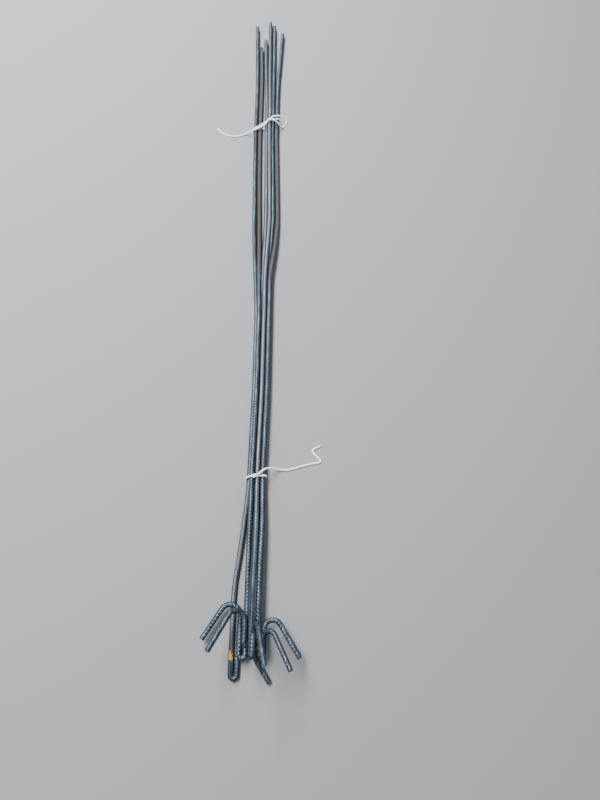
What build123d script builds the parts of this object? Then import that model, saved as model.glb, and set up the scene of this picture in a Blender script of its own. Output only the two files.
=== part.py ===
"""Bundle of six hooked rebar stakes, lying on the ground and held by two string ties.

Each stake is one length of ribbed bar. One end is cut square and goes into the ground.
The other end turns back on itself in a tight U, runs back beside the shank, and then
opens in a wider bend to a flared leg, which makes an open hook for netting or rope.

X runs across the bundle, Y along it from the hooks to the cut ends, and Z up from the
ground. Places across the bundle are counted in bar pitches, so the bars stay packed
against each other when the bar's diameter changes. At the end the whole bundle is moved
so that the middle of its base is the origin.
"""

import math
import os

from build123d import *

# The bar: an 8 mm ribbed bar measured over its ribs, and the room between bars that touch
BAR_DIAMETER = 9.0
BAR_CLEARANCE = 0.3
BAR_RADIUS = BAR_DIAMETER / 2
PITCH = BAR_DIAMETER + BAR_CLEARANCE

# The string of the ties
STRING_DIAMETER = 2.6
STRING_CLEARANCE = 0.15
STRING_RADIUS = STRING_DIAMETER / 2
STRING_SIDES = 8

# A tie's knot: its size, the bevel at its ends, and how far it stands above the string's
# centre line
KNOT_RADIUS = 3.2
KNOT_LENGTH = 9.0
KNOT_RISE = 2.0
KNOT_BEVEL = 1.6

# The hook: clear gap inside the U and how far the leg flares
U_GAP = 0.8
FLARE_ANGLE = 33.0

# Where the straight part of the shanks by the hooks ends, where the two ties are and how
# far, in degrees, each of them slants across the bundle
SHANK_STRAIGHT_TO = 108.0
LOWER_TIE = 289.0
UPPER_TIE = 1112.0
LOWER_TIE_SLANT = 4.0
UPPER_TIE_SLANT = 32.0

# How far before and after its tie the bars run side by side, and the stations this gives
BEFORE_LOWER_TIE = 14.0
AFTER_LOWER_TIE = 21.0
BEFORE_UPPER_TIE = 32.0
AFTER_UPPER_TIE = 48.0
LOWER_PACKED = (LOWER_TIE - BEFORE_LOWER_TIE, LOWER_TIE + AFTER_LOWER_TIE)
UPPER_PACKED = (UPPER_TIE - BEFORE_UPPER_TIE, UPPER_TIE + AFTER_UPPER_TIE)

# The outer bars that each tie goes round, in order, and where its knot sits on the run
# of string over them, as a share of that run from its left end
LOWER_TIE_BARS = ("stake_under", "stake_right_lower", "stake_right_upper", "stake_left_lower")
UPPER_TIE_BARS = ("stake_under", "stake_right_upper", "stake_top")
LOWER_KNOT_SHARE = 0.2
UPPER_KNOT_SHARE = 1.0

# A turn smaller than this, in degrees, has no arc of its own, and a tie that turns more
# than this round one bar does so in two steps
SMALLEST_TURN = 0.02
SHARPEST_TIE_TURN = 100.0

# Share of the shorter run that an arc may use, and share of the full radius that a tie's
# arcs have, which leaves a short straight run between two of them
ARC_SHARE = 0.45
TIE_ROUNDING = 0.98

# The bars at the ties lie on the string that passes under them
TIE_LIFT = STRING_DIAMETER + STRING_CLEARANCE

# For each stake: the outer edge of its U along Y, the angle of its hook's plane about
# the shank (0 points along +X, 90 up, 180 along -X), the straight run beside the shank,
# the flared leg, the inner radius of the open bend, and how far past the upper tie and
# in which column its cut end lies
STAKES = {
    "stake_left_lower": dict(
        u_end=-2.0, plane=180.0, back=57.0, leg=53.0, inner=11.5, tip=249.0, column=-2.24),
    "stake_left_upper": dict(
        u_end=16.0, plane=147.0, back=29.0, leg=62.0, inner=11.5, tip=276.0, column=-1.20),
    "stake_right_lower": dict(
        u_end=2.0, plane=12.0, back=32.0, leg=58.0, inner=9.5, tip=328.0, column=0.92),
    "stake_right_upper": dict(
        u_end=3.0, plane=42.0, back=14.0, leg=58.0, inner=9.5, tip=302.0, column=3.10),
    "stake_top": dict(
        u_end=0.0, plane=73.0, back=24.0, leg=60.0, inner=11.5, tip=340.0, column=-0.16),
    "stake_under": dict(
        u_end=-31.0, plane=0.0, back=21.0, leg=47.0, inner=9.0, tip=322.0, column=-3.58),
}

# Two bars that roll round each other stand this many pitches apart half way, so that the
# straight run to each side of that station still clears them
ROLLING_REACH = 1.155

# From the hooks to the lower tie: share of that way, share of the tie's lift, and the
# column and height in pitches of the bar under the others, the left lower, left upper,
# right lower, top and right upper bar. The left upper bar sinks between the two lower
# ones, so the top bar comes down between the upper ones.
NEAR_SECTIONS = (
    (0.00, 0.00, (-3.05, 0.00), (-0.73, 1.00), (0.00, 1.95), (1.28, 1.00), (0.22, 2.98), (1.30, 2.06)),
    (0.34, 0.33, (-2.25, 0.00), (-0.78, 0.97), (0.28, 1.12), (1.30, 0.85), (0.40, 2.20), (1.38, 1.87)),
    (0.67, 0.67, (-1.70, 0.00), (-0.72, 0.92), (0.30, 0.38), (1.34, 0.35), (0.42, 1.45), (1.55, 1.36)),
)

# From the lower tie to the upper one: share of that way, columns of the bars on the
# ground, and the angle and distance at which the upper right bar lies from the lower
# right one. The lower left bar lies in the groove between its neighbours until they open,
# and the top bar lies in the groove between the two bars beside it.
MIDDLE_SECTIONS = (
    (0.00, -1.16, None, -0.16, 0.84, (60.0, 1.0)),
    (0.18, -0.86, None, 0.14, 1.14, (60.0, 1.0)),
    (0.40, -0.98, None, 0.08, 1.12, (60.0, 1.0)),
    (0.51, -1.52, None, 0.02, 1.06, (60.0, 1.0)),
    (0.60, -2.02, -0.93, 0.20, 1.48, (30.0, ROLLING_REACH)),
    (0.69, -2.30, -1.15, 0.33, 1.95, (0.0, 1.02)),
    (0.83, -2.56, -1.52, 0.12, 1.62, (0.0, 1.02)),
    (1.00, -2.82, -1.80, -0.27, 1.20, (0.0, 1.02)),
)

# Past the upper tie: distance from its packed part, the same columns, and the same angle
END_SECTIONS = (
    (75.0, -2.90, -1.85, -0.65, 1.12, (0.0, 1.13)),
    (145.0, -3.15, -2.05, -0.97, 1.14, (0.0, 1.46)),
)

# Free ends of the ties, as points measured along X, along Y from their tie, and up
LOWER_END_POINTS = (
    (2.8, 0.5, 24.5), (6.2, 3.0, 26.0), (10.4, 7.4, 26.6),
    (16.2, 12.0, 24.4), (22.0, 14.8, 20.4), (27.2, 16.6, 15.0), (32.6, 17.2, 9.6),
    (38.6, 17.2, 4.8), (45.6, 16.9, 1.9), (54.0, 17.0, 1.4), (65.0, 19.8, 1.4),
    (78.0, 24.0, 1.4), (91.0, 27.8, 1.4), (103.5, 30.9, 1.4), (112.8, 31.8, 1.4),
    (114.4, 36.8, 1.4), (107.4, 42.7, 1.4), (101.0, 48.2, 1.4), (99.0, 54.2, 1.4),
    (103.9, 59.0, 1.4), (113.6, 62.7, 1.4),
)
UPPER_END_POINTS = (
    (0.1, -1.9, 21.3), (-1.7, -5.5, 20.9), (-5.2, -10.6, 19.6), (-10.8, -15.6, 18.3),
    (-17.8, -19.6, 17.2), (-25.2, -22.6, 16.0), (-32.2, -24.0, 13.4), (-38.4, -23.8, 8.6),
    (-44.8, -23.6, 3.9), (-52.6, -26.0, 1.4), (-62.0, -30.2, 1.4), (-73.0, -32.8, 1.4),
    (-84.0, -32.4, 1.4), (-95.0, -28.2, 1.4), (-104.6, -21.4, 1.4), (-113.4, -11.6, 1.4),
)
UPPER_LOOP_POINTS = (
    (7.0, 6.2, 23.4), (11.2, 7.6, 25.2), (17.4, 10.2, 25.0), (25.0, 15.4, 20.8),
    (32.6, 20.6, 15.0), (39.4, 23.9, 9.4), (43.8, 21.6, 4.4), (42.2, 15.0, 1.4),
    (38.6, 7.4, 1.4), (34.8, 1.0, 1.4), (31.0, -1.8, 4.8), (27.2, -2.4, 11.2),
    (22.8, -2.8, 17.6), (17.4, -2.6, 22.6), (12.0, 0.6, 24.6), (8.7, 3.4, 23.4),
)


def beside(place, degrees, reach=1.0):
    """A place some pitches away from another, at an angle up from +X."""
    turn = math.radians(degrees)
    return place[0] + reach * math.cos(turn), place[1] + reach * math.sin(turn)


def in_groove(left, right):
    """The place of a bar that lies on two bars on the ground, or between them if they let it."""
    half = (right[0] - left[0]) / 2
    return left[0] + half, math.sqrt(max(0.0, 1.0 - half * half))


def spread_places(under, left_lower, left_upper, right_lower, far_right):
    """Each stake's place from the columns of the bars on the ground."""
    ground = {
        "stake_under": (under, 0.0),
        "stake_left_upper": (left_upper, 0.0),
        "stake_right_lower": (right_lower, 0.0),
    }
    if left_lower is None:
        left = in_groove(ground["stake_under"], ground["stake_left_upper"])
    else:
        left = (left_lower, 0.0)
    return ground | {
        "stake_left_lower": left,
        "stake_top": in_groove(ground["stake_left_upper"], ground["stake_right_lower"]),
        "stake_right_upper": beside(ground["stake_right_lower"], *far_right),
    }


def sections():
    """Each station's place along Y, its share of the tie's lift, and each stake's place."""
    names = ("stake_under", "stake_left_lower", "stake_left_upper", "stake_right_lower",
             "stake_top", "stake_right_upper")
    found = []
    for share, lift, *places in NEAR_SECTIONS:
        along = SHANK_STRAIGHT_TO + share * (LOWER_PACKED[0] - SHANK_STRAIGHT_TO)
        found.append((along, lift, dict(zip(names, places))))
    found.append((LOWER_PACKED[0], 1.0, spread_places(*MIDDLE_SECTIONS[0][1:])))
    for share, *columns in MIDDLE_SECTIONS:
        along = LOWER_PACKED[1] + share * (UPPER_PACKED[0] - LOWER_PACKED[1])
        found.append((along, 1.0, spread_places(*columns)))
    found.append((UPPER_PACKED[1], 1.0, spread_places(*MIDDLE_SECTIONS[-1][1:])))
    for past, *columns in END_SECTIONS:
        found.append((UPPER_PACKED[1] + past, 1.0, spread_places(*columns)))
    return found


def place_across(column, height, lift):
    """Millimetres across and up of a bar's centre from its column and height in pitches."""
    return column * PITCH, BAR_RADIUS + height * PITCH + lift * TIE_LIFT


def without_straight_points(points):
    """The route without the points that lie in line with their neighbours."""
    kept = [points[0]]
    for here, after in zip(points[1:], points[2:]):
        if (here - kept[-1]).get_angle(after - here) > SMALLEST_TURN:
            kept.append(here)
    return kept + [points[-1]]


def corner_radii(points):
    """The largest arc that each corner's shorter run has room for."""
    radii = []
    for before, here, after in zip(points, points[1:], points[2:]):
        turn = math.radians((here - before).get_angle(after - here))
        shorter = min((here - before).length, (after - here).length)
        radii.append(ARC_SHARE * shorter / math.tan(turn / 2))
    return radii


def bar(path):
    """A round bar along a path, mitred where the path has a slight kink."""
    section = Plane(path @ 0, z_dir=path % 0) * Circle(BAR_RADIUS)
    return sweep(section, path=path)


def string(path):
    """String along a smooth path. Its section is an even polygon, which is round enough."""
    section = Plane(path @ 0, z_dir=path % 0) * RegularPolygon(STRING_RADIUS, STRING_SIDES)
    return sweep(section, path=path)


def hook_curve(start, plane, back, leg, inner):
    """The U, the run back, the open bend and the flared leg, from the shank's last point."""
    across = Vector(math.cos(math.radians(plane)), 0, math.sin(math.radians(plane)))
    along = Vector(0, 1, 0)
    u_radius = (U_GAP + BAR_DIAMETER) / 2
    bend_radius = inner + BAR_RADIUS
    u_middle = start + across * u_radius - along * u_radius
    back_start = start + across * 2 * u_radius
    back_end = back_start + along * back
    centre = back_end + across * bend_radius
    flare = math.radians(FLARE_ANGLE)
    leg_start = centre + (across * math.cos(flare) + along * math.sin(flare)) * bend_radius
    leg_end = leg_start + (across * math.sin(flare) - along * math.cos(flare)) * leg
    return [
        ThreePointArc(start, u_middle, back_start),
        Line(back_start, back_end),
        ThreePointArc(back_end, centre + along * bend_radius, leg_start),
        Line(leg_start, leg_end),
    ]


def stake_path(name):
    """The centre line of one stake, from its cut end to the end of its hook."""
    stake = STAKES[name]
    points = []
    for along, lift, places in sections():
        across, up = place_across(*places[name], lift)
        points.append(Vector(across, along, up))
    u_reach = BAR_RADIUS + (U_GAP + BAR_DIAMETER) / 2
    u_start = Vector(points[0].X, stake["u_end"] + u_reach, points[0].Z)
    across, up = place_across(stake["column"], 0.0, 1.0)
    tip = Vector(across, UPPER_TIE + stake["tip"], up)
    points = without_straight_points([u_start] + points + [tip])
    shank = Polyline(*reversed(points))
    hook = hook_curve(u_start, stake["plane"], stake["back"], stake["leg"], stake["inner"])
    return Wire(shank.edges() + [edge for curve in hook for edge in curve.edges()])


def tie_corners(places, bars, along, slant):
    """Corners of the string's loop round the named outer bars, in the tie's slanted plane.

    Where the loop would turn sharply round a bar it gets a short upright run there.
    """
    reach = BAR_RADIUS + STRING_CLEARANCE + STRING_RADIUS
    centres = [Vector(*place_across(*places[name], 1.0)) for name in bars]
    corners = []
    for before, here, after in zip(centres[-1:] + centres, centres, centres[1:] + centres[:1]):
        directions = [(here - before).normalized(), (after - here).normalized()]
        if directions[0].get_angle(directions[1]) > SHARPEST_TIE_TURN:
            directions.insert(1, (directions[0] + directions[1]).normalized())
        outward = [Vector(direction.Y, -direction.X) for direction in directions]
        for one, two in zip(outward, outward[1:]):
            corner = here + (one + two) * (reach / (1 + one.dot(two)))
            drift = corner.X * math.tan(math.radians(slant))
            corners.append(Vector(corner.X, along + drift, corner.Y))
    return corners, reach * math.cos(math.radians(slant))


def tie(places, bars, along, slant, knot_share):
    """A tight loop of string round the bundle, with its knot on the run over the bars."""
    corners, radius = tie_corners(places, bars, along, slant)
    path = FilletPolyline(*corners, radius=TIE_ROUNDING * radius, close=True)
    runs = [run for run in path.edges().filter_by(GeomType.LINE) if run.center().Z > BAR_DIAMETER]
    over = max(runs, key=lambda run: run.length)
    left, right = sorted((over @ 0, over @ 1), key=lambda point: point.X)
    way = (right - left).normalized()
    outward = (Vector(0, 0, 1) - way * way.Z).normalized()
    middle = left + (right - left) * knot_share + outward * KNOT_RISE
    lump = Cylinder(KNOT_RADIUS, KNOT_LENGTH)
    knot = Plane(middle, z_dir=way) * chamfer(lump.edges().filter_by(GeomType.CIRCLE), KNOT_BEVEL)
    print("knot's middle", middle, "along", way)
    return string(path) + knot


def free_end_path(points, along):
    """The centre line of a free end: straight runs joined by arcs as large as they allow."""
    route = [Vector(x, along + y, z) for x, y, z in points]
    return FilletPolyline(*route, radius=corner_radii(route))


def report(name, solid, path):
    """Print a swept piece's length, its volume against section times length, and its arcs."""
    section = solid.faces().sort_by_distance(path @ 0)[0].area
    radii = [round(arc.radius, 1) for arc in path.edges().filter_by(GeomType.CIRCLE)]
    ratio = solid.volume / (section * path.length)
    print(name, "length", round(path.length, 1), "volume ratio", round(ratio, 4), "radii", radii)


def main():
    """Build every piece, move the bundle onto the origin and write one file for each."""
    pieces = {}
    for name in STAKES:
        path = stake_path(name)
        pieces[name] = bar(path)
        report(name, pieces[name], path)
    places = {along: where for along, lift, where in sections()}
    pieces["lower_tie"] = tie(
        places[LOWER_PACKED[1]], LOWER_TIE_BARS, LOWER_TIE, LOWER_TIE_SLANT, LOWER_KNOT_SHARE)
    pieces["upper_tie"] = tie(
        places[UPPER_PACKED[0]], UPPER_TIE_BARS, UPPER_TIE, UPPER_TIE_SLANT, UPPER_KNOT_SHARE)
    box = Compound(list(pieces.values())).bounding_box()
    to_origin = Pos(-box.center().X, -box.center().Y, -box.min.Z)
    print("moved by", -box.center().X, -box.center().Y, -box.min.Z, "size", box.size)
    for name, points, along in (
        ("lower_tie_end", LOWER_END_POINTS, LOWER_TIE),
        ("upper_tie_end", UPPER_END_POINTS, UPPER_TIE),
        ("upper_tie_loop", UPPER_LOOP_POINTS, UPPER_TIE),
    ):
        path = free_end_path(points, along)
        pieces[name] = string(path)
        report(name, pieces[name], path)
    os.makedirs("parts", exist_ok=True)
    for name, solid in pieces.items():
        export_step(to_origin * solid, f"parts/{name}.step")


main()
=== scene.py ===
# %% [markdown]
# # A bundle of rebar stakes
#
# The real thing is six ground stakes for fencing, bent from ribbed reinforcing bar, lying on
# level ground and held together by two string ties. The CAD model already has every stake as
# a plain round rod and every string as a plain tube, in the right place. This lesson dresses
# them: real ribs on the bars, twisted strands in the string, and steel that has aged
# outdoors. Everything is in metres and stays in the CAD model's frame, where +X runs across
# the bundle, +Y from the hooks to the cut ends and +Z up.

import bpy
import numpy as np
from mathutils import Matrix


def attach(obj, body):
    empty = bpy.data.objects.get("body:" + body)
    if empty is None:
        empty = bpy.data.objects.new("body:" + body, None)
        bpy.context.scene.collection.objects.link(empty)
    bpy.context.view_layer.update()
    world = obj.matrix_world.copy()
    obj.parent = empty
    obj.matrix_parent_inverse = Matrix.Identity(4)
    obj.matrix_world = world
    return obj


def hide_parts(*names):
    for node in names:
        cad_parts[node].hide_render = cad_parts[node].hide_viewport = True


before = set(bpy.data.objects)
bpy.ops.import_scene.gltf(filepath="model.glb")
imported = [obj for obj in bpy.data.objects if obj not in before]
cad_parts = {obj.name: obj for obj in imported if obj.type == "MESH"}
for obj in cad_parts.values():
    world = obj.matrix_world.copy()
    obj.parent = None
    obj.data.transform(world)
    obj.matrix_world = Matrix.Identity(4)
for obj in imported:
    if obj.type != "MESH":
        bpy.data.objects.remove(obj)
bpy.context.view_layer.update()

# %% [markdown]
# ## The camera
#
# The photograph was taken from a metre above the ground, looking steeply down at the bundle,
# which runs away from the viewer. A camera is placed by three directions: where it
# looks, what is right and what is up in its picture. A matrix with those as its columns
# turns a Blender camera, which looks along its own -Z, the same way. The wide lens matters
# as much as the place, because it decides how fast the bars draw together in the distance.

# %% Make the camera
PLACE_OF_EYE = (0.0202, -0.7040, 1.0259)
LOOKING = np.array([0.0495, 0.3912, -0.9190])
PICTURE_UP = np.array([-0.0263, 0.9203, 0.3903])
# Blender states a lens and its sensor in millimetres.
LENS = 27.2
SENSOR = 36.0
NEAREST_SEEN = 0.02


def unit(vectors):
    """The same directions with length 1: each vector divided by its own length."""
    return vectors / np.linalg.norm(vectors, axis=-1, keepdims=True)


looking = unit(LOOKING)
to_right = unit(np.cross(looking, PICTURE_UP))
up = np.cross(to_right, looking)
turned = np.eye(4)
turned[:3, 0] = to_right
turned[:3, 1] = up
turned[:3, 2] = -looking
turned[:3, 3] = PLACE_OF_EYE
camera_data = bpy.data.cameras.new("camera")
camera_data.lens = LENS
camera_data.sensor_fit = "VERTICAL"
camera_data.sensor_height = SENSOR
camera_data.sensor_width = SENSOR
camera_data.clip_start = NEAREST_SEEN
camera = bpy.data.objects.new("camera", camera_data)
camera.matrix_world = Matrix(turned.tolist())
bpy.context.scene.collection.objects.link(camera)
bpy.context.scene.camera = camera
print("camera looks down at", round(float(np.degrees(np.arcsin(-looking[2]))), 1), "degrees")

# %% [markdown]
# ## Reading a smooth line
#
# Each tie has a loose end of string. Its route is a few given points, and a NURBS
# spline of order 3 glides past them without corners, the way limp string lies. Blender
# computes the spline: a curve object without any bevel turns into a chain of vertices, and
# numpy reads those. The order is set after the points are added, since Blender lowers it
# while there are too few of them. The tables in this lesson give places in millimetres from a
# point near the hooks, and one shift takes those into the CAD model's frame.

# %% Read the loose ends' routes
MM = 0.001
SHIFT = np.array([-1.3080, -708.4191, 0.0])
LOWER_TIE_AT = 289.0
UPPER_TIE_AT = 1112.0
# The height of a string's middle where it lies on the ground.
LYING = 1.4
LOWER_END = (
    (2.8, 0.5, 24.5), (6.2, 3.0, 26.0), (10.4, 7.4, 26.6),
    (16.2, 12.0, 24.4), (22.0, 14.8, 20.4), (27.2, 16.6, 15.0), (32.6, 17.2, 9.6),
    (38.6, 17.2, 4.8), (45.6, 16.9, 1.9), (54.0, 17.0, LYING), (65.0, 19.8, LYING),
    (78.0, 24.0, LYING), (91.0, 27.8, LYING), (103.5, 30.9, LYING), (112.8, 31.8, LYING),
    (114.4, 36.8, LYING), (107.4, 42.7, LYING), (101.0, 48.2, LYING), (99.0, 54.2, LYING),
    (103.9, 59.0, LYING), (113.6, 62.7, LYING),
)
UPPER_END = (
    (0.1, -1.9, 21.3), (-1.7, -5.5, 20.9), (-5.2, -10.6, 19.6), (-10.8, -15.6, 18.3),
    (-17.8, -19.6, 17.2), (-25.2, -22.6, 16.0), (-32.2, -24.0, 13.4), (-38.4, -23.8, 8.6),
    (-44.8, -23.6, 3.9), (-52.6, -26.0, LYING), (-62.0, -30.2, LYING), (-73.0, -32.8, LYING),
    (-84.0, -32.4, LYING), (-95.0, -28.2, LYING), (-104.6, -21.4, LYING), (-113.4, -11.6, LYING),
)
UPPER_LOOP = (
    (7.0, 6.2, 23.4), (11.2, 7.6, 25.2), (17.4, 10.2, 25.0), (25.0, 15.4, 20.8),
    (32.6, 20.6, 15.0), (39.4, 23.9, 9.4), (43.8, 21.6, 4.4), (42.2, 15.0, LYING),
    (38.6, 7.4, LYING), (34.8, 1.0, LYING), (31.0, -1.8, 4.8), (27.2, -2.4, 11.2),
    (22.8, -2.8, 17.6), (17.4, -2.6, 22.6), (12.0, 0.6, 24.6), (8.7, 3.4, 23.4),
)
SPLINE_ORDER = 3
STEPS_PER_POINT = 24


def spline_line(points, tie_at):
    """Points along a NURBS spline from the route's first point to its last.

    Each of them is a blend of three neighbouring points of the route, which are given in
    millimetres from the tie's own place along the bundle.
    """
    route = (np.array(points) + (0.0, tie_at, 0.0) + SHIFT) * MM
    curve = bpy.data.curves.new("route", "CURVE")
    curve.dimensions = "3D"
    curve.resolution_u = STEPS_PER_POINT
    spline = curve.splines.new("NURBS")
    spline.points.add(len(route) - 1)
    spline.points.foreach_set("co", np.c_[route, np.ones(len(route))].ravel())
    spline.order_u = SPLINE_ORDER
    spline.use_endpoint_u = True
    holder = bpy.data.objects.new("route", curve)
    chain = bpy.data.meshes.new_from_object(holder)
    found = np.empty(len(chain.vertices) * 3)
    chain.vertices.foreach_get("co", found)
    bpy.data.objects.remove(holder)
    bpy.data.curves.remove(curve)
    bpy.data.meshes.remove(chain)
    return found.reshape(-1, 3)


def lengths_along(line):
    """Distance from the line's start to each of its points: the running sum of its steps."""
    steps = np.linalg.norm(np.diff(line, axis=0), axis=1)
    return np.concatenate([[0.0], np.cumsum(steps)])


def points_at(line, distances):
    """Points of the line at the given distances from its start, straight between its points."""
    measured = lengths_along(line)
    return np.stack([np.interp(distances, measured, line[:, k]) for k in range(3)], axis=-1)


loose_lines = {
    "lower_tie_end": spline_line(LOWER_END, LOWER_TIE_AT),
    "upper_tie_end": spline_line(UPPER_END, UPPER_TIE_AT),
    "upper_tie_loop": spline_line(UPPER_LOOP, UPPER_TIE_AT),
}
for name, line in loose_lines.items():
    print(name, "is", round(lengths_along(line)[-1] / MM, 1), "mm long")

# %% [markdown]
# ## Turning a grid into a mesh
#
# Every new piece here is a surface over a grid: one direction runs along the piece, the
# other round it. Numpy works out all its points at once, and this helper knits them into
# faces. Each face joins a point to its neighbours in the next column and the next row, so
# the face list is the same few index arrays for any tube. Each end is closed with one face
# of many corners, which suits a bar because its cut is flat. Only the faces of four corners
# are shaded smooth.

# %% Mesh helper
def knit_tubes(name, grids, closed=False):
    """One object from tubes, each a grid of rows along it and columns round it.

    Row r and column c meet row r+1 and column c+1, with the last column joined to the first.
    A closed tube also joins its last row to its first, and an open one gets two end faces.
    """
    tubes, rows, columns = grids.shape[:3]
    index = np.arange(tubes * rows * columns).reshape(tubes, rows, columns)
    after = np.roll(index, -1, axis=1)
    if not closed:
        index, after = index[:, :-1], after[:, :-1]
    quads = np.stack(
        [index, np.roll(index, -1, axis=2), np.roll(after, -1, axis=2), after], axis=-1)
    corners = quads.reshape(-1)
    sizes = np.full(len(corners) // 4, 4)
    if not closed:
        first = index[:, 0, ::-1]
        last = after[:, -1]
        caps = np.concatenate([first, last])
        corners = np.concatenate([corners, caps.reshape(-1)])
        sizes = np.concatenate([sizes, np.full(len(caps), columns)])
    mesh = bpy.data.meshes.new(name)
    mesh.vertices.add(tubes * rows * columns)
    mesh.vertices.foreach_set("co", grids.reshape(-1).astype(np.float32))
    mesh.loops.add(len(corners))
    mesh.loops.foreach_set("vertex_index", corners.astype(np.int32))
    mesh.polygons.add(len(sizes))
    starts = np.concatenate([[0], np.cumsum(sizes)[:-1]])
    mesh.polygons.foreach_set("loop_start", starts.astype(np.int32))
    mesh.update(calc_edges=True)
    mesh.validate()
    mesh.polygons.foreach_set("use_smooth", sizes == 4)
    piece = bpy.data.objects.new(name, mesh)
    bpy.context.scene.collection.objects.link(piece)
    return piece


def keep_values(piece, **values):
    """Store one number for each vertex under a name, which a material reads by that name."""
    for name, numbers in values.items():
        layer = piece.data.attributes.new(name, "FLOAT", "POINT")
        layer.data.foreach_set("value", numbers.reshape(-1).astype(np.float32))


# %% [markdown]
# ## String with three strands
#
# Cheap packing string is three soft strands laid round each other. Each strand's middle
# runs on a helix round the string's own line, and each strand is a tube whose section is
# turned to stay square to that helix. Soft strands press into each other, so their radius is
# larger than the one at which three circles would only touch. Their crests stand a third of
# a millimetre further out than half the string's diameter, and the valleys between them lie
# just inside it. Where the string lies on the ground its weight presses the crests flat, so
# no point is let below a hair over the ground.

# %% Directions along a line
# Added to the top, it keeps a line that points straight up from a division by zero.
NEVER_ZERO = 1e-9


def steps_ahead(line, closed):
    """Direction at each point: from the point before it to the point after, made length 1."""
    if closed:
        return unit(np.roll(line, -1, axis=-2) - np.roll(line, 1, axis=-2))
    return unit(np.gradient(line, axis=-2))


def leaning_up(ahead):
    """Side and top of a line at each point.

    The top is straight up less its part along the line, made length 1, and the side is
    square to both.
    """
    upright = np.array([0.0, 0.0, 1.0])
    top = unit(upright - ahead * (ahead @ upright)[:, None] + NEVER_ZERO)
    return np.cross(ahead, top), top


# %% Strand helper
STRING_DIAMETER = 0.0026
STRANDS = 3
STRAND_RADIUS = 0.00108
HELIX_RADIUS = 0.00056
LAY_LENGTH = 0.0085
STRAND_SIDES = 10
ROW_SPACING = 0.0006
THINNEST_TIP = 0.12
FLAT_ON_GROUND = 0.00008
FULL_TURN = 2 * np.pi


def lay_strands(name, line, closed=False, sides=None):
    """Three tubes on helices round the line, which is first cut into equal steps.

    A strand's middle is the line's point plus a radius turned by a steady angle, and its
    section is drawn with that radius and the direction square to both it and the helix.
    """
    if closed:
        line = np.concatenate([line, line[:1]])
    whole = lengths_along(line)[-1]
    rows = int(round(whole / ROW_SPACING))
    at = np.linspace(0.0, whole, rows, endpoint=not closed)
    line = points_at(line, at)
    ahead = steps_ahead(line, closed)
    if sides is None:
        side, top = leaning_up(ahead)
    else:
        side = np.broadcast_to(sides, line.shape)
        top = np.cross(side, ahead)
    turns = round(whole / LAY_LENGTH)
    strand = np.arange(STRANDS)[:, None] * (FULL_TURN / STRANDS)
    angle = strand + FULL_TURN * turns * at[None, :] / whole
    outward = np.cos(angle)[..., None] * side + np.sin(angle)[..., None] * top
    middle = line + HELIX_RADIUS * outward
    along = steps_ahead(middle, closed)
    outward = unit(outward - along * (outward * along).sum(-1, keepdims=True))
    square = np.cross(along, outward)
    slim = np.ones(rows)
    if not closed:
        from_end = np.minimum(at, whole - at)
        slim = np.sqrt(np.clip(from_end / STRAND_RADIUS, THINNEST_TIP, 1.0))
    round_it = np.arange(STRAND_SIDES) * (FULL_TURN / STRAND_SIDES)
    spoke = (np.cos(round_it)[:, None] * outward[:, :, None, :]
             + np.sin(round_it)[:, None] * square[:, :, None, :])
    grids = middle[:, :, None, :] + STRAND_RADIUS * slim[None, :, None, None] * spoke
    grids[..., 2] = np.maximum(grids[..., 2], FLAT_ON_GROUND)
    piece = knit_tubes(name, grids, closed)
    shape = grids.shape[:3]
    keep_values(
        piece,
        along_string=np.broadcast_to(at[None, :, None], shape),
        round_strand=np.broadcast_to(np.sin(round_it)[None, None, :], shape),
        outside=np.broadcast_to(np.cos(round_it)[None, None, :], shape))
    return piece


print("the strands' crests reach", round(2 * (HELIX_RADIUS + STRAND_RADIUS) / MM, 2), "mm across")

# %% [markdown]
# ## The loose ends
#
# The cords come first, because their place on the ground is checked against the camera's
# view. Each is laid as three strands along the line it follows, and the CAD model's plain
# tube for it is hidden. The loop goes back into its own knot.

# %% Make the loose ends
string_pieces = []
for node, line in loose_lines.items():
    piece = lay_strands(node + "_strands", line)
    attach(piece, "root")
    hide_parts(node)
    string_pieces.append(piece)
    print(piece.name, len(piece.data.polygons), "faces")

# %% [markdown]
# ## Where the bars run
#
# Bars in a bundle lie against each other, so their places are easiest to write in bar
# pitches, one bar and a hair's breadth. A list of stations along the bundle says where each
# bar is, as a column across and a height up. A bar that lies on two others sinks into the
# groove between them: its height follows from how far they stand apart, by Pythagoras. From
# the hooks to the first tie the bars are stacked and sink. After it three lie on three, then
# they open side by side and fan out to their cut ends. The string under the bundle lifts the
# bars a little, and that lift grows from nothing at the hooks to all of it at the first tie.

# %% Stations of the shanks
BAR_DIAMETER = 9.0
BAR_CLEARANCE = 0.3
PITCH = BAR_DIAMETER + BAR_CLEARANCE
TIE_LIFT = 2.75
FULL_LIFT = 1.0
ON_GROUND = 0.0
# How many pitches apart two bars are while one rolls down beside the other.
ROLLING = 1.155
NEAR_ORDER = ("under", "left_lower", "left_upper", "right_lower", "top", "right_upper")
# Place along, share of the lift, and the column and height of each bar in that order.
NEAR_STATIONS = (
    (108.0, 0.00,
     (-3.05, 0.00), (-0.73, 1.00), (0.00, 1.95), (1.28, 1.00), (0.22, 2.98), (1.30, 2.06)),
    (164.8, 0.33,
     (-2.25, 0.00), (-0.78, 0.97), (0.28, 1.12), (1.30, 0.85), (0.40, 2.20), (1.38, 1.87)),
    (219.9, 0.67,
     (-1.70, 0.00), (-0.72, 0.92), (0.30, 0.38), (1.34, 0.35), (0.42, 1.45), (1.55, 1.36)),
)
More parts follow.
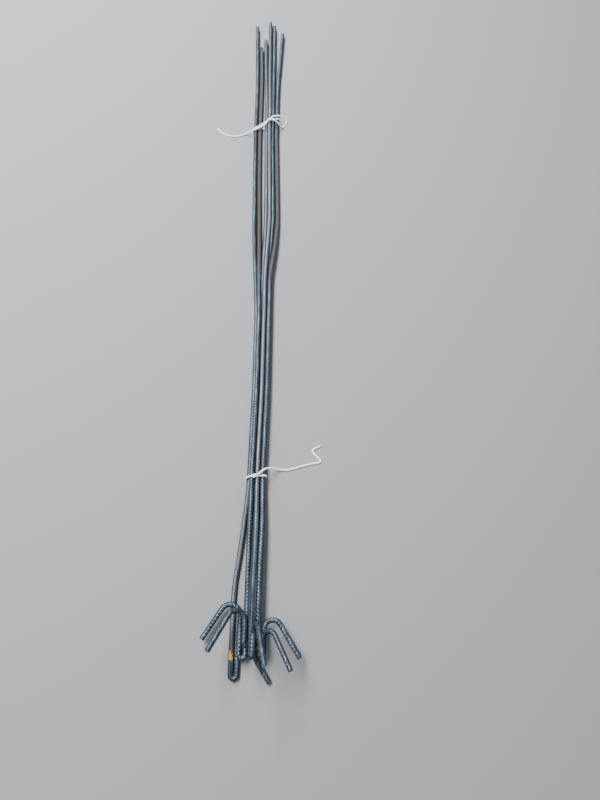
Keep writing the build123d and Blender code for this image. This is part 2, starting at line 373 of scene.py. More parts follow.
# Place along, then the columns of four bars on the ground: stake_under, stake_left_lower,
# stake_left_upper and stake_right_lower. The second has none while it lies in a groove. The
# last pair is the angle and distance at which stake_right_upper leans on stake_right_lower.
GROUND_STATIONS = (
    (275.0, -1.16, None, -0.16, 0.84, (60.0, 1.0)),
    (310.0, -1.16, None, -0.16, 0.84, (60.0, 1.0)),
    (448.6, -0.86, None, 0.14, 1.14, (60.0, 1.0)),
    (618.0, -0.98, None, 0.08, 1.12, (60.0, 1.0)),
    (702.7, -1.52, None, 0.02, 1.06, (60.0, 1.0)),
    (772.0, -2.02, -0.93, 0.20, 1.48, (30.0, ROLLING)),
    (841.3, -2.30, -1.15, 0.33, 1.95, (0.0, 1.02)),
    (949.1, -2.56, -1.52, 0.12, 1.62, (0.0, 1.02)),
    (1080.0, -2.82, -1.80, -0.27, 1.20, (0.0, 1.02)),
    (1160.0, -2.82, -1.80, -0.27, 1.20, (0.0, 1.02)),
    (1235.0, -2.90, -1.85, -0.65, 1.12, (0.0, 1.13)),
    (1305.0, -3.15, -2.05, -0.97, 1.14, (0.0, 1.46)),
)


def leaning(column, degrees, reach):
    """The place at this angle up from +X and this many pitches from a bar on the ground."""
    turn = np.radians(degrees)
    return column + reach * np.cos(turn), reach * np.sin(turn)


def in_groove(left, right):
    """Half way between two bars on the ground, as high as the root of 1 - half gap squared."""
    half = (right - left) / 2
    return left + half, np.sqrt(max(0.0, 1.0 - half * half))


def station_table():
    """For every stake, rows of place along, column, height in pitches and share of the lift."""
    table = {"stake_" + name: [] for name in NEAR_ORDER}
    for along, lift, *places in NEAR_STATIONS:
        for name, place in zip(NEAR_ORDER, places):
            table["stake_" + name].append((along, *place, lift))
    for along, under, left_lower, left_upper, right_lower, far_right in GROUND_STATIONS:
        left = (left_lower, ON_GROUND)
        if left_lower is None:
            left = in_groove(under, left_upper)
        places = {
            "stake_under": (under, ON_GROUND),
            "stake_left_lower": left,
            "stake_left_upper": (left_upper, ON_GROUND),
            "stake_right_lower": (right_lower, ON_GROUND),
            "stake_top": in_groove(left_upper, right_lower),
            "stake_right_upper": leaning(right_lower, *far_right)}
        for name, place in places.items():
            table[name].append((along, *place, FULL_LIFT))
    return {name: np.array(rows) for name, rows in table.items()}


def in_millimetres(rows):
    """X from the column, Y as given, Z from the height in pitches plus the tie's lift."""
    up = BAR_DIAMETER / 2 + rows[:, 2] * PITCH + rows[:, 3] * TIE_LIFT
    return np.stack([rows[:, 1] * PITCH, rows[:, 0], up], axis=1)


stations = {name: in_millimetres(rows) for name, rows in station_table().items()}
print(len(stations), "stakes with", len(stations["stake_top"]), "stations each")

# %% [markdown]
# ## The hooks
#
# The hook is the piece that a smith would take most care over. The bar turns back on itself
# in a tight U, runs back beside the shank, and swings out in a wider bend to a flared leg.
# All of it lies in one plane through the shank, so two directions describe it: along the
# shank, and across, which is turned by a different angle on each stake. Straight parts are
# a start plus a distance times a direction, and bends are a centre plus a radius turned
# through an angle.

# %% Sizes of the hooks
# u_end is how far the U reaches, plane is the angle up from +X in which the hook opens, back
# and leg are the straight parts, inner is the open bend's inside radius, and tip and column
# are the place of the cut end. Angles are in degrees and columns in pitches.
HOOKS = {
    "stake_left_lower": dict(
        u_end=-2.0, plane=180.0, back=57.0, leg=53.0, inner=11.5, tip=1361.0, column=-2.24),
    "stake_left_upper": dict(
        u_end=16.0, plane=147.0, back=29.0, leg=62.0, inner=11.5, tip=1388.0, column=-1.20),
    "stake_right_lower": dict(
        u_end=2.0, plane=12.0, back=32.0, leg=58.0, inner=9.5, tip=1440.0, column=0.92),
    "stake_right_upper": dict(
        u_end=3.0, plane=42.0, back=14.0, leg=58.0, inner=9.5, tip=1414.0, column=3.10),
    "stake_top": dict(
        u_end=0.0, plane=73.0, back=24.0, leg=60.0, inner=11.5, tip=1452.0, column=-0.16),
    "stake_under": dict(
        u_end=-31.0, plane=0.0, back=21.0, leg=47.0, inner=9.0, tip=1434.0, column=-3.58),
}
U_GAP = 0.8
FLARE = np.radians(33.0)
FINE_STEP = 0.4
legs = [hook["leg"] for hook in HOOKS.values()]
print("the flared legs are", min(legs), "to", max(legs), "mm long")


# %% Centre lines of the hooks
def across_direction(name):
    """The direction in which a stake's hook opens: the cosine and sine of its plane's angle."""
    plane = np.radians(HOOKS[name]["plane"])
    return np.array([np.cos(plane), 0.0, np.sin(plane)])


def hook_line(name, start):
    """Points of the U, the run back, the open bend and the leg, all in the hook's plane.

    A straight part is its start plus a distance times its direction. A bend is its centre
    plus its radius times the cosine and sine of a growing angle.
    """
    hook = HOOKS[name]
    across = across_direction(name)
    along = np.array([0.0, 1.0, 0.0])
    u_radius = (U_GAP + BAR_DIAMETER) / 2
    bend_radius = hook["inner"] + BAR_DIAMETER / 2
    turn = np.arange(0.0, np.pi, FINE_STEP / u_radius)[:, None]
    u_turn = start + u_radius * ((1 - np.cos(turn)) * across - np.sin(turn) * along)
    back_start = start + 2 * u_radius * across
    run = np.arange(0.0, hook["back"], FINE_STEP)[:, None]
    back = back_start + run * along
    centre = back_start + hook["back"] * along + bend_radius * across
    turn = np.arange(0.0, np.pi - FLARE, FINE_STEP / bend_radius)[:, None]
    bend = centre + bend_radius * (np.sin(turn) * along - np.cos(turn) * across)
    leg_start = centre + bend_radius * (np.cos(FLARE) * across + np.sin(FLARE) * along)
    leg_way = np.sin(FLARE) * across - np.cos(FLARE) * along
    run = np.append(np.arange(0.0, hook["leg"], FINE_STEP), hook["leg"])[:, None]
    return np.concatenate([u_turn, back, bend, leg_start + run * leg_way])


hook_lengths = [lengths_along(hook_line(name, np.zeros(3)))[-1] for name in HOOKS]
print("the hooks take", round(min(hook_lengths)), "to", round(max(hook_lengths)), "mm of bar")

# %% [markdown]
# ## From stations to a springy bar
#
# Straight runs from station to station would kink at each of them, and steel doesn't. So every
# point of the shank becomes the mean of the run over five centimetres round it, which turns
# each kink into a gentle bend. The hook is joined on as it is, since a bender made its bends.

# %% Centre lines of the stakes
SPRING_OVER = 48.0
SPRING_SAMPLES = 29


def sprung(line, spread):
    """Every point becomes the mean of the line over the spread round it.

    Both ends are first drawn out straight, so they stay where they are.
    """
    first = line[0] + unit(line[0] - line[1]) * spread
    last = line[-1] + unit(line[-1] - line[-2]) * spread
    drawn_out = np.concatenate([[first], line, [last]])
    whole = lengths_along(drawn_out)[-1]
    at = np.arange(spread, whole - spread, FINE_STEP)
    offsets = np.linspace(-spread / 2, spread / 2, SPRING_SAMPLES)
    return points_at(drawn_out, at[:, None] + offsets).mean(axis=1)


def stake_line(name):
    """The whole centre line, in metres, from the cut end to the tip of the hook.

    It is the softened run through the stations, followed by the hook's own points.
    """
    hook = HOOKS[name]
    near = stations[name][0]
    u_start = np.array([near[0], hook["u_end"] + BAR_DIAMETER + U_GAP / 2, near[2]])
    tip = np.array([[hook["tip"], hook["column"], ON_GROUND, FULL_LIFT]])
    corners = np.concatenate([in_millimetres(tip), stations[name][::-1], [u_start]])
    shank = sprung(corners, SPRING_OVER)
    return (np.concatenate([shank, hook_line(name, u_start)]) + SHIFT) * MM


stake_lines = {name: stake_line(name) for name in HOOKS}
for name, line in stake_lines.items():
    print(name, "is bent from", round(lengths_along(line)[-1], 3), "m of bar")

# %% [markdown]
# ## Ribs
#
# Reinforcing bar is rolled with crescent ribs on two sides, so that concrete grips it, and
# with a fine ridge along each seam between the two sides. Bump in a material would do for
# a distant view, but here the ribs break the outline and catch the light one by one, so
# they are in the mesh. The trick is in the grid. Its rings are tilted, so they run along
# the leaning ribs, and ten rings to each rib pitch lie on the crests, the flanks and the feet
# of both sides' ribs. A rib's height is the product of two simple functions, one across the
# rib and one from the crescent's middle to its tips. The ribs of the second side stand half a
# pitch further on.

# %% Pattern of the ribs
RIB_PITCH = 0.0057
RIB_TOP = 0.0003
RIB_FOOT = 0.0012
RIB_SPAN = 76.0
RIB_FULLNESS = 0.7
SEAM_SPAN = 12.0
RINGS_IN_PITCH = np.array([0.0, 0.09, 0.2, 0.3, 0.41, 0.5, 0.59, 0.7, 0.8, 0.91])
HALF_COLUMNS = np.array([0, 9, 22, 38, 55, 72, 90, 108, 125, 142, 158, 171])
COLUMNS = np.radians(np.concatenate([HALF_COLUMNS, 180 + HALF_COLUMNS]))
# How far each column is from the middle of its own side, in degrees.
WITHIN_SIDE = np.degrees(COLUMNS) % 180.0 - 90.0
SEAM = np.clip(1.0 - (90.0 - np.abs(WITHIN_SIDE)) / SEAM_SPAN, 0.0, 1.0)


def crescent_ribs(pitches):
    """The share of a rib's height at each ring and column, for rings this many pitches along.

    Across a rib it falls straight from the edge of its top to its foot. Round the bar it is
    1 less the square of the angle's share of the span, to the power of the fullness.
    """
    phase = pitches[:, None] - np.where(np.sin(COLUMNS) >= 0, 0.0, 0.5)
    off_crest = np.abs((phase + 0.5) % 1.0 - 0.5) * RIB_PITCH
    across_rib = np.clip((RIB_FOOT - off_crest) / (RIB_FOOT - RIB_TOP), 0.0, 1.0)
    crescent = np.clip(1.0 - (WITHIN_SIDE / RIB_SPAN) ** 2, 0.0, 1.0) ** RIB_FULLNESS
    return across_rib * crescent


print("a ring has", len(COLUMNS), "points, and a rib pitch has", len(RINGS_IN_PITCH), "rings")

# %% [markdown]
# ## The bars
#
# A stake's surface is its centre line plus a radius in every direction round it. The hook
# bends in its own plane, so the section is measured from that plane, and then it turns slowly
# along the bar, because a bar twists as it is straightened from its coil and no two
# bundled ones show their ribs alike. The cut ends are sheared flat, without ribs, and have a
# small bevel.

# %% Ribbed bars
CORE_RADIUS = 0.0040
RIB_HEIGHT = 0.0005
SEAM_HEIGHT = 0.0003
RIB_LEAN = 0.0027
BARE_END = 0.006
LAST_BARE_RING = 0.4 * BARE_END
CUT_BEVEL = 0.0005
LOOK_AHEAD = 0.0005
FIRST_TURN = 0.4
TWIST_PER_METRE = {
    "stake_left_lower": 2.1, "stake_left_upper": -1.6, "stake_right_lower": 1.2,
    "stake_right_upper": -2.4, "stake_top": 1.7, "stake_under": 2.8,
}


def ribbed_bar(name, line):
    """A bar along its line, on a grid of tilted rings.

    A vertex lies at the line's point a little ahead or behind, by the cosine of its angle
    times the lean, plus a radius. The radius is the core's, plus a crescent rib, or a seam.
    The cut faces are marked as a rib's top that faces up, so they get bare steel and no painted
    shade.
    """
    whole = lengths_along(line)[-1]
    pitches = int((whole - 2 * BARE_END) / RIB_PITCH)
    start = (whole - pitches * RIB_PITCH) / 2
    at = start + ((np.arange(pitches)[:, None] + RINGS_IN_PITCH) * RIB_PITCH).ravel()
    ends = np.array([0.0, CUT_BEVEL, LAST_BARE_RING])
    at = np.concatenate([ends, at, whole - ends[::-1]])
    shrink = np.zeros(len(at))
    shrink[[0, -1]] = CUT_BEVEL

    from_end = np.clip(np.minimum(at, whole - at) / BARE_END, 0.0, 1.0)
    rib = crescent_ribs((at - start) / RIB_PITCH) * (from_end >= 1.0)[:, None]
    radius = CORE_RADIUS + RIB_HEIGHT * rib + SEAM_HEIGHT * SEAM - shrink[:, None]

    lean = RIB_LEAN * from_end[:, None] * np.cos(COLUMNS)
    distance = np.clip(at[:, None] + lean, 0.0, whole)
    middle = points_at(line, distance)
    ahead = unit(points_at(line, distance + LOOK_AHEAD) - points_at(line, distance - LOOK_AHEAD))
    flat = np.cross(across_direction(name), [0.0, 1.0, 0.0])
    top = unit(flat - ahead * (ahead @ flat)[..., None])
    side = np.cross(ahead, top)
    turned_by = COLUMNS + TWIST_PER_METRE[name] * distance + FIRST_TURN
    outward = np.cos(turned_by)[..., None] * side + np.sin(turned_by)[..., None] * top
    surface = middle + radius[..., None] * outward
    piece = knit_tubes(name + "_ribbed", surface[None])
    upward = outward[..., 2]
    # The cut faces count as rib tops that face up, which keeps the painted flank shade off them.
    rib[[0, -1]] = 1.0
    upward[[0, -1]] = 1.0
    keep_values(piece, rib=rib, upward=upward)
    return piece, surface


bars = {}
surfaces = {}
for name, line in stake_lines.items():
    bars[name], surfaces[name] = ribbed_bar(name, line)
    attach(bars[name], "root")
    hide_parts(name)
    print(bars[name].name, len(bars[name].data.polygons), "faces")

# %% [markdown]
# ## The tight loops of the ties
#
# A taut string round a bundle touches only the bars that stick out furthest and runs
# straight between them. For each direction round a full turn, the bar that reaches furthest
# that way is found, and the string's point is that bar's middle plus a fixed reach in that
# direction. Where the furthest bar changes, the point jumps, and that jump is the straight
# run. Cutting the result into equal steps gives a clean closed line.

# %% Loops round the bars
STRING_CLEARANCE = 0.15
HALF_STRING = STRING_DIAMETER / MM / 2
REACH = BAR_DIAMETER / 2 + STRING_CLEARANCE + HALF_STRING
LOOP_STEPS = 720
# at is the tie's place along, slant is how many degrees it runs askew, and station is the row
# in which the bars lie as they do under the tie.
TIES = {
    "lower_tie": dict(
        at=LOWER_TIE_AT, slant=4.0, station=4,
        bars=("stake_under", "stake_right_lower", "stake_right_upper", "stake_left_lower")),
    "upper_tie": dict(
        at=UPPER_TIE_AT, slant=32.0, station=11,
        bars=("stake_under", "stake_right_upper", "stake_top")),
}


def taut_loop(tie):
    """In each direction, the furthest bar's middle plus the reach, never below the ground.

    The place along drifts with the place across, by the tangent of the slant.
    """
    centres = np.array([stations[name][tie["station"]] for name in tie["bars"]])[:, [0, 2]]
    turn = np.linspace(0.0, FULL_TURN, LOOP_STEPS, endpoint=False)
    direction = np.stack([np.cos(turn), np.sin(turn)], axis=1)
    furthest = (centres @ direction.T).argmax(axis=0)
    flat = centres[furthest] + REACH * direction
    flat[:, 1] = np.maximum(flat[:, 1], HALF_STRING)
    drift = flat[:, 0] * np.tan(np.radians(tie["slant"]))
    return np.stack([flat[:, 0], tie["at"] + drift, flat[:, 1]], axis=1)


for node, tie in TIES.items():
    loop = (taut_loop(tie) + SHIFT) * MM
    slant = np.radians(tie["slant"])
    square_to_plane = np.array([-np.sin(slant), np.cos(slant), 0.0])
    piece = lay_strands(node + "_strands", loop, closed=True, sides=square_to_plane)
    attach(piece, "root")
    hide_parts(node)
    string_pieces.append(piece)
    print(piece.name, "goes", round(lengths_along(loop)[-1] / MM, 1), "mm round the bars")

# %% [markdown]
# ## The knots
#
# A pulled overhand knot is a trefoil: one line that passes over and under itself three
# times. Its classic formula, sin t + 2 sin 2t across, cos t - 2 cos 2t along and -sin 3t up,
# is scaled to the size of the lump in the photograph and drawn out along the string. The
# same three strands are laid on that line as on the rest of the string.

# %% Tie the knots
KNOTS = {
    "lower_tie": dict(middle=(-2.5, -0.2, 23.2), lengthwise=(0.998, 0.070, 0.0)),
    "upper_tie": dict(middle=(3.5, 2.2, 21.5), lengthwise=(0.835, 0.522, 0.172)),
}
# What one unit of the formula is along the string, across it and outward, in millimetres.
KNOT_SIZES = (1.15, 0.75, 1.1)
KNOT_STEPS = 240


def knot_line(middle, lengthwise):
    """A trefoil with its longest side along the string and its thin side pointing out.

    Each of the formula's three terms is multiplied by its size and by its own direction.
    """
    turn = np.linspace(0.0, FULL_TURN, KNOT_STEPS, endpoint=False)
    size_along, size_across, size_out = KNOT_SIZES
    along = size_along * (np.sin(turn) + 2 * np.sin(2 * turn))
    across = size_across * (np.cos(turn) - 2 * np.cos(2 * turn))
    out = -size_out * np.sin(3 * turn)
    lengthwise = unit(np.array(lengthwise))
    outward = unit(np.array([0.0, 0.0, 1.0]) - lengthwise * lengthwise[2])
    sideways = np.cross(outward, lengthwise)
    in_plane = along[:, None] * lengthwise + across[:, None] * sideways
    return middle + in_plane + out[:, None] * outward


for node, knot in KNOTS.items():
    tie_at = TIES[node]["at"]
    middle = np.array(knot["middle"]) + (0.0, tie_at, 0.0)
    line = (knot_line(middle, knot["lengthwise"]) + SHIFT) * MM
    piece = lay_strands(node + "_knot", line, closed=True)
    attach(piece, "root")
    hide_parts(node)
    string_pieces.append(piece)
    print(piece.name, "spans", np.round(np.ptp(line, axis=0) / MM, 1), "mm")

# %% [markdown]
# ## Steel that has lain outdoors
#
# Hot-rolled bar leaves the mill with a thin blue-grey skin. Outdoors some bars turn brown
# over long stretches, pale dust settles on some of them, and a few spots rust afresh. How
# much of each there is along a bar is a short table of places and amounts, and
# numpy reads it for every vertex. The numbers are stored on the mesh, where a material finds
# them by name, and the material's noise breaks up the edges of the stretches.

# %% Where each bar is brown, dusty or freshly rusted
BROWN = {
    "stake_left_lower": ((-60, 0.10), (640, 0.15), (760, 0.60), (1250, 0.55), (1361, 0.30)),
    "stake_left_upper": ((-60, 0.12), (700, 0.18), (1120, 0.30), (1390, 0.25)),
    "stake_right_lower": ((-60, 0.15), (380, 0.20), (500, 0.20), (1000, 0.22), (1440, 0.25)),
    "stake_right_upper": ((-60, 0.12), (640, 0.15), (760, 0.55), (1020, 0.50), (1150, 0.20)),
    "stake_top": ((-60, 0.12), (130, 0.20), (600, 0.25), (1120, 0.30), (1452, 0.15)),
    "stake_under": ((-60, 0.10), (0, 0.20), (230, 0.25), (330, 0.25), (1434, 0.25)),
}
DUSTY = {
    "stake_left_upper": ((-60, 0.05), (750, 0.05), (820, 0.40), (1388, 0.30)),
    "stake_top": ((-60, 0.0), (110, 0.1), (230, 0.60), (560, 0.85), (900, 0.80), (1452, 0.3)),
    "stake_under": ((-60, 0.0), (-5, 0.1), (20, 0.45), (250, 0.50), (330, 0.1), (1434, 0.1)),
}
HARDLY_DUSTY = ((0, 0.05), (1, 0.05))
# The bar, the middle of the spot, how far it spreads and how strong it is.
FRESH_RUST = (
    ("stake_under", (-26.5, 6.0, 8.0), 8.5, 1.0),
    ("stake_top", (2.0, 1148.0, 16.0), 15.0, 0.52),
    ("stake_right_upper", (13.0, 15.0, 28.0), 6.0, 0.62),
)


def soft_spot(points, middle, spread):
    """A bell curve of the distance from a place: 1 in its middle, fading over the spread."""
    away = np.linalg.norm(points - (np.array(middle) + SHIFT) * MM, axis=-1)
    return np.exp(-((away / (spread * MM)) ** 2))


for name, piece in bars.items():
    along = surfaces[name][..., 1] / MM - SHIFT[1]
    places, amounts = np.array(BROWN[name]).T
    brown = np.interp(along, places, amounts)
    fresh = np.zeros(along.shape)
    for where, middle, spread, amount in FRESH_RUST:
        if where == name:
            fresh = np.maximum(fresh, amount * soft_spot(surfaces[name], middle, spread))
    places, amounts = np.array(DUSTY.get(name, HARDLY_DUSTY)).T
    dusty = np.interp(along, places, amounts)
    keep_values(piece, brown=brown, fresh=fresh, dusty=dusty)
    print(name, "mean brown", round(float(brown.mean()), 2))

# %% [markdown]
# ## Helpers for materials
#
# A material is a graph: nodes make numbers and colours, and links carry them to the shader's
# sockets. Each helper here adds one node, gives its sockets their values or links, and hands
# back the socket with the result, so that the materials below read like a recipe.

# %% Helpers that add nodes
NOISE_ROUGHNESS = 0.6


def new_group(name, inputs, outputs):
    """An empty shader group with these named number or vector inputs and number outputs."""
    group = bpy.data.node_groups.new(name, "ShaderNodeTree")
    for label, kind, value in inputs:
        socket = group.interface.new_socket(label, in_out="INPUT", socket_type=kind)
        if value is not None:
            socket.default_value = value
    for label in outputs:
        group.interface.new_socket(label, in_out="OUTPUT", socket_type="NodeSocketFloat")
    return group


def add_node(tree, kind, **settings):
    """A node of this kind with these settings."""
    node = tree.nodes.new(kind)
    for label, value in settings.items():
        setattr(node, label, value)
    return node


def feed(tree, socket, value):
    """Link a socket to another node's result, or give it a number or a colour of its own."""
    if isinstance(value, bpy.types.NodeSocket):
        tree.links.new(value, socket)
    else:
        socket.default_value = value


def noise(tree, vector, scale, detail):
    """A noise texture on this vector, and its value's socket."""
    node = add_node(tree, "ShaderNodeTexNoise", noise_dimensions="3D")
    feed(tree, node.inputs["Vector"], vector)
    feed(tree, node.inputs["Scale"], scale)
    feed(tree, node.inputs["Detail"], detail)
    feed(tree, node.inputs["Roughness"], NOISE_ROUGHNESS)
    return node.outputs["Fac"]


def calculate(tree, kind, *values):
    """A Math node of this kind on these sockets or numbers, and its result's socket."""
    node = add_node(tree, "ShaderNodeMath", operation=kind)
    for socket, value in zip(node.inputs, values):
        feed(tree, socket, value)
    return node.outputs[0]


def ranged(tree, value, low, high, to_low=0.0, to_high=1.0):
    """A value stretched from one range to another, smoothly and without overshoot."""
    node = add_node(tree, "ShaderNodeMapRange", interpolation_type="SMOOTHSTEP")
    node.inputs["From Min"].default_value = low
    node.inputs["From Max"].default_value = high
    node.inputs["To Min"].default_value = to_low
    node.inputs["To Max"].default_value = to_high
    tree.links.new(value, node.inputs["Value"])
    return node.outputs["Result"]


# %% Helpers that mix and read
def coloured_mix(tree, mask, below, above):
    """A colour mix: below where the mask is 0, above where it is 1. Returns its socket.

    A Mix node has a set of sockets for each kind of value. Those of a colour are 6, 7 and 2.
    """
    node = add_node(tree, "ShaderNodeMix", data_type="RGBA")
    tree.links.new(mask, node.inputs[0])
    feed(tree, node.inputs[6], below)
    feed(tree, node.inputs[7], above)
    return node.outputs[2]


def read_value(tree, name):
    """The socket of a number stored on the mesh under this name."""
    return add_node(tree, "ShaderNodeAttribute", attribute_name=name).outputs["Fac"]


# %% [markdown]
# ## Ageing that both materials share
#
# Patches, fine grain and long streaks are three noises at three scales. They live in one node
# group with named sockets, so that each finish uses the same ageing with values of its own:
# the Amount moves the edge of the patches, and the two scales say how fine patches and grain
# are. Only masks leave the group, and the Principled shader stays in the material, where an
# exporter can read it.

# %% Ageing group
PATCH_SCALE = 45.0
GRAIN_SCALE = 900.0
STREAK_SCALE = 260.0
STREAK_STRETCH = (1.0, 0.12, 1.0)
GRAIN_IN_PATCHES = 0.25
PATCH_EDGE = (0.86, 1.16)

ageing = new_group(
    "weathering",
    (("Vector", "NodeSocketVector", None), ("Amount", "NodeSocketFloat", 0.3),
     ("Patch scale", "NodeSocketFloat", PATCH_SCALE),
     ("Grain scale", "NodeSocketFloat", GRAIN_SCALE)),
    ("Patches", "Grain", "Streaks"))
given = add_node(ageing, "NodeGroupInput").outputs
handed_out = add_node(ageing, "NodeGroupOutput").inputs
patch_noise = noise(ageing, given["Vector"], given["Patch scale"], detail=6.0)
grain_noise = noise(ageing, given["Vector"], given["Grain scale"], detail=4.0)
stretch = add_node(ageing, "ShaderNodeMapping")
stretch.inputs["Scale"].default_value = STREAK_STRETCH
ageing.links.new(given["Vector"], stretch.inputs["Vector"])
streak_noise = noise(ageing, stretch.outputs["Vector"], STREAK_SCALE, detail=3.0)
pushed = calculate(ageing, "ADD", patch_noise, given["Amount"])
grained = calculate(ageing, "MULTIPLY_ADD", grain_noise, GRAIN_IN_PATCHES, pushed)
ageing.links.new(ranged(ageing, grained, *PATCH_EDGE), handed_out["Patches"])
ageing.links.new(grain_noise, handed_out["Grain"])
ageing.links.new(streak_noise, handed_out["Streaks"])
print("ageing group has", len(ageing.nodes), "nodes")

# %% [markdown]
# ## The steel's material
#
# Colour is mixed in the order in which the real layers lie: blue-grey skin with lighter
# streaks, brown rust in patches, dust on it, red and yellow flakes where rust is fresh, and
# bare bright steel on the tops of the ribs. Last comes painted shade: by the number that says
# how far a place faces up, the flanks are painted near black, which gives packed bars their
# dark lines between bright tops. Roughness and metal follow the same masks, because mill skin
# is satin and rust is chalky.

# %% Colours of the steel
MILL_SKIN = (0.014, 0.023, 0.034, 1.0)
LIT_SKIN = (0.062, 0.098, 0.136, 1.0)
DRY_RUST = (0.068, 0.060, 0.051, 1.0)
DARK_RUST = (0.030, 0.024, 0.020, 1.0)
DUST = (0.145, 0.139, 0.134, 1.0)
NEW_RUST = (0.880, 0.500, 0.110, 1.0)
RED_RUST = (0.170, 0.038, 0.010, 1.0)
WORN_STEEL = (0.230, 0.295, 0.360, 1.0)
# Painted shade: near black painted on the flanks of every bar, standing in for the shade between
# packed bars.
PAINTED_FLANK_SHADE = (0.013, 0.018, 0.024, 1.0)
# Each edge is the value at which a layer starts and the value from which it is full.
STREAK_EDGE = (0.38, 0.68)
RUST_TONE_EDGE = (0.35, 0.60)
DUST_EDGE = (0.25, 0.55)
FRESH_EDGE = (0.62, 0.95)
BLOTCH_EDGE = (0.47, 0.57)
RIB_EDGE = (0.40, 0.95)
# The painted shade is full where upward is below the first value and gone from the second.
UPWARD_EDGE = (0.35, 0.96)
# A quarter of the bare steel shows where the grain is low, and nearly all where it is high.
WORN_BY_GRAIN = (0.40, 0.60, 0.25, 0.95)
BLOTCH_SCALE = 330.0
GRAIN_IN_FRESH = 0.6
PATCHES_HIDE_STEEL = 0.6
# From clean mill skin to rust and grime.
ROUGHNESS = (0.38, 0.88)
METALLIC = (0.50, 0.00)
SHINE = 0.35
print("the steel has nine colours, from", MILL_SKIN[:3], "to", NEW_RUST[:3])

# %% Steel
steel = bpy.data.materials.new("ribbed_steel")
steel.use_nodes = True
tree = steel.node_tree
shader = tree.nodes["Principled BSDF"]
place = add_node(tree, "ShaderNodeTexCoord").outputs["Object"]
aged = add_node(tree, "ShaderNodeGroup", node_tree=ageing)
aged.inputs["Patch scale"].default_value = 38.0
aged.inputs["Grain scale"].default_value = 1100.0
tree.links.new(place, aged.inputs["Vector"])
tree.links.new(read_value(tree, "brown"), aged.inputs["Amount"])
patches = aged.outputs["Patches"]
grain = aged.outputs["Grain"]

streaks = ranged(tree, aged.outputs["Streaks"], *STREAK_EDGE)
skin = coloured_mix(tree, streaks, MILL_SKIN, LIT_SKIN)
rust = coloured_mix(tree, ranged(tree, grain, *RUST_TONE_EDGE), DARK_RUST, DRY_RUST)
rusted = coloured_mix(tree, patches, skin, rust)
dust_here = ranged(tree, grain, *DUST_EDGE)
dust_cover = calculate(tree, "MULTIPLY", read_value(tree, "dusty"), dust_here)
dusted = coloured_mix(tree, dust_cover, rusted, DUST)

fresh_here = calculate(tree, "MULTIPLY_ADD", grain, GRAIN_IN_FRESH, read_value(tree, "fresh"))
fresh_mask = ranged(tree, fresh_here, *FRESH_EDGE)
blotches = ranged(tree, noise(tree, place, BLOTCH_SCALE, detail=2.0), *BLOTCH_EDGE)
fresh = coloured_mix(tree, blotches, RED_RUST, NEW_RUST)
spotted = coloured_mix(tree, fresh_mask, dusted, fresh)

hidden = calculate(tree, "MULTIPLY", patches, PATCHES_HIDE_STEEL)
clean = calculate(tree, "SUBTRACT", 1.0, hidden)
worn = calculate(tree, "MULTIPLY", ranged(tree, read_value(tree, "rib"), *RIB_EDGE), clean)
worn = calculate(tree, "MULTIPLY", worn, ranged(tree, grain, *WORN_BY_GRAIN))
handled = coloured_mix(tree, worn, spotted, WORN_STEEL)
# Painted shade: places that face sideways or down are painted towards near black.
faces_up_unshaded = ranged(tree, read_value(tree, "upward"), *UPWARD_EDGE)
colour = coloured_mix(tree, faces_up_unshaded, PAINTED_FLANK_SHADE, handled)
tree.links.new(colour, shader.inputs["Base Color"])

all_rust = calculate(tree, "MAXIMUM", patches, fresh_mask)
# Rust, and the flanks under the painted shade, are rough and not metallic.
dull = calculate(tree, "MAXIMUM", all_rust, calculate(tree, "SUBTRACT", 1.0, faces_up_unshaded))
tree.links.new(ranged(tree, dull, 0.0, 1.0, *ROUGHNESS), shader.inputs["Roughness"])
tree.links.new(ranged(tree, dull, 0.0, 1.0, *METALLIC), shader.inputs["Metallic"])
shader.inputs["Specular IOR Level"].default_value = SHINE
bump = add_node(tree, "ShaderNodeBump")
bump.inputs["Strength"].default_value = 0.35
bump.inputs["Distance"].default_value = 0.0004
tree.links.new(calculate(tree, "ADD", grain, patches), bump.inputs["Height"])
tree.links.new(bump.outputs["Normal"], shader.inputs["Normal"])
for piece in bars.values():
    piece.data.materials.append(steel)
print("steel material has", len(tree.nodes), "nodes")

# %% [markdown]
# ## White string
#
# The string is bright and matte. Its fibres run along each strand, so the noise is read in
# the strand's own directions, where a long way along counts for little, which draws the
# noise out into fibres. The valleys between strands hold a little dirt.

# %% String material
WHITE = (0.96, 0.97, 0.96, 1.0)
FIBRE_SHADE = (0.90, 0.91, 0.89, 1.0)
STRING_DIRT = (0.66, 0.64, 0.60, 1.0)
# How far the noise runs for a metre along the string, and for a strand's radius across.
FIBRES_ALONG = 260.0
FIBRES_ACROSS = 3.2
FIBRE_SCALE = 1.6
FIBRE_EDGE = (0.38, 0.60)
# The dirt is thickest in the depth of a valley and is gone above a strand's flank.
VALLEY_DIRT = (-0.9, 0.2, 0.60, 0.0)
PATCH_DIRT = 0.4

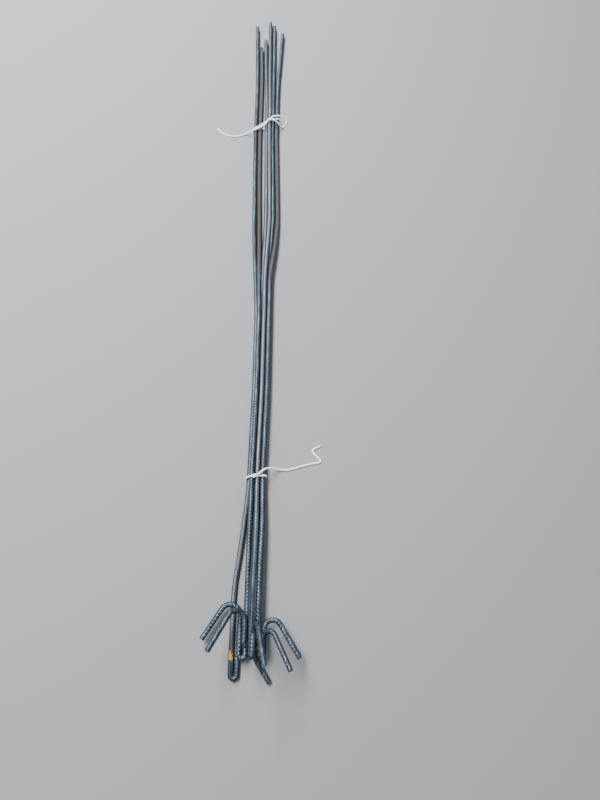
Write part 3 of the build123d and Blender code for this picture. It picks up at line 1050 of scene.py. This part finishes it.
cotton = bpy.data.materials.new("white_string")
cotton.use_nodes = True
tree = cotton.node_tree
shader = tree.nodes["Principled BSDF"]
shader.inputs["Roughness"].default_value = 0.85
shader.inputs["Sheen Weight"].default_value = 0.25
join = add_node(tree, "ShaderNodeCombineXYZ")
fibre_axes = (
    ("along_string", FIBRES_ALONG), ("round_strand", FIBRES_ACROSS), ("outside", FIBRES_ACROSS))
for socket, (name, reach) in zip(join.inputs, fibre_axes):
    tree.links.new(calculate(tree, "MULTIPLY", read_value(tree, name), reach), socket)
fibres = noise(tree, join.outputs[0], FIBRE_SCALE, detail=3.0)
body = coloured_mix(tree, ranged(tree, fibres, *FIBRE_EDGE), FIBRE_SHADE, WHITE)
place = add_node(tree, "ShaderNodeTexCoord").outputs["Object"]
aged = add_node(tree, "ShaderNodeGroup", node_tree=ageing)
aged.inputs["Patch scale"].default_value = 90.0
aged.inputs["Amount"].default_value = 0.08
tree.links.new(place, aged.inputs["Vector"])
valley = ranged(tree, read_value(tree, "outside"), *VALLEY_DIRT)
stains = calculate(tree, "MULTIPLY", aged.outputs["Patches"], PATCH_DIRT)
dirty = calculate(tree, "MAXIMUM", valley, stains)
tree.links.new(coloured_mix(tree, dirty, body, STRING_DIRT), shader.inputs["Base Color"])
bump = add_node(tree, "ShaderNodeBump")
bump.inputs["Strength"].default_value = 0.5
bump.inputs["Distance"].default_value = 0.0002
tree.links.new(fibres, bump.inputs["Height"])
tree.links.new(bump.outputs["Normal"], shader.inputs["Normal"])
for piece in string_pieces:
    piece.data.materials.append(cotton)
print("string material has", len(tree.nodes), "nodes")

# %% [markdown]
# ## Floor and light
#
# The bundle lies on a plain pale floor. One long, soft panel hangs above it to the left, and
# reaches far out beyond the cut ends, so that the bars mirror it towards the camera. It is
# longer than the bundle, so it draws an even highlight along every bar, and from the side it
# gives the bars soft shadows to the right. The sky fills those in.

# %% Floor
FLOOR_GREY = (0.240, 0.239, 0.235, 1.0)
FLOOR_HALF = 6.0
floor_mesh = bpy.data.meshes.new("floor")
corners = FLOOR_HALF * np.array([(-1, -1, 0), (1, -1, 0), (1, 1, 0), (-1, 1, 0)])
floor_mesh.from_pydata(corners.tolist(), [], [(0, 1, 2, 3)])
floor = bpy.data.objects.new("floor", floor_mesh)
bpy.context.scene.collection.objects.link(floor)
paint = bpy.data.materials.new("pale_floor")
paint.use_nodes = True
paint_shader = paint.node_tree.nodes["Principled BSDF"]
paint_shader.inputs["Base Color"].default_value = FLOOR_GREY
paint_shader.inputs["Roughness"].default_value = 0.9
floor_mesh.materials.append(paint)
print("the floor is", 2 * FLOOR_HALF, "m wide")

# %% Panel and sky
PANEL_WIDTH = 0.8
PANEL_LENGTH = 4.0
PANEL_POWER = 400.0
PANEL_COLOUR = (0.93, 0.97, 1.0)
PANEL_PLACE = (-1.00, 1.60, 2.5)
SKY_COLOUR = (0.86, 0.93, 1.0, 1.0)
SKY_STRENGTH = 0.60

panel_light = bpy.data.lights.new("soft_panel", "AREA")
panel_light.shape = "RECTANGLE"
panel_light.size = PANEL_WIDTH
panel_light.size_y = PANEL_LENGTH
panel_light.energy = PANEL_POWER
panel_light.color = PANEL_COLOUR
panel = bpy.data.objects.new("soft_panel", panel_light)
panel.location = PANEL_PLACE
bpy.context.scene.collection.objects.link(panel)

world = bpy.data.worlds.new("overcast")
world.use_nodes = True
sky = world.node_tree.nodes["Background"]
sky.inputs["Color"].default_value = SKY_COLOUR
sky.inputs["Strength"].default_value = SKY_STRENGTH
bpy.context.scene.world = world
print("the panel gives", PANEL_POWER, "W over", PANEL_WIDTH * PANEL_LENGTH, "square metres")
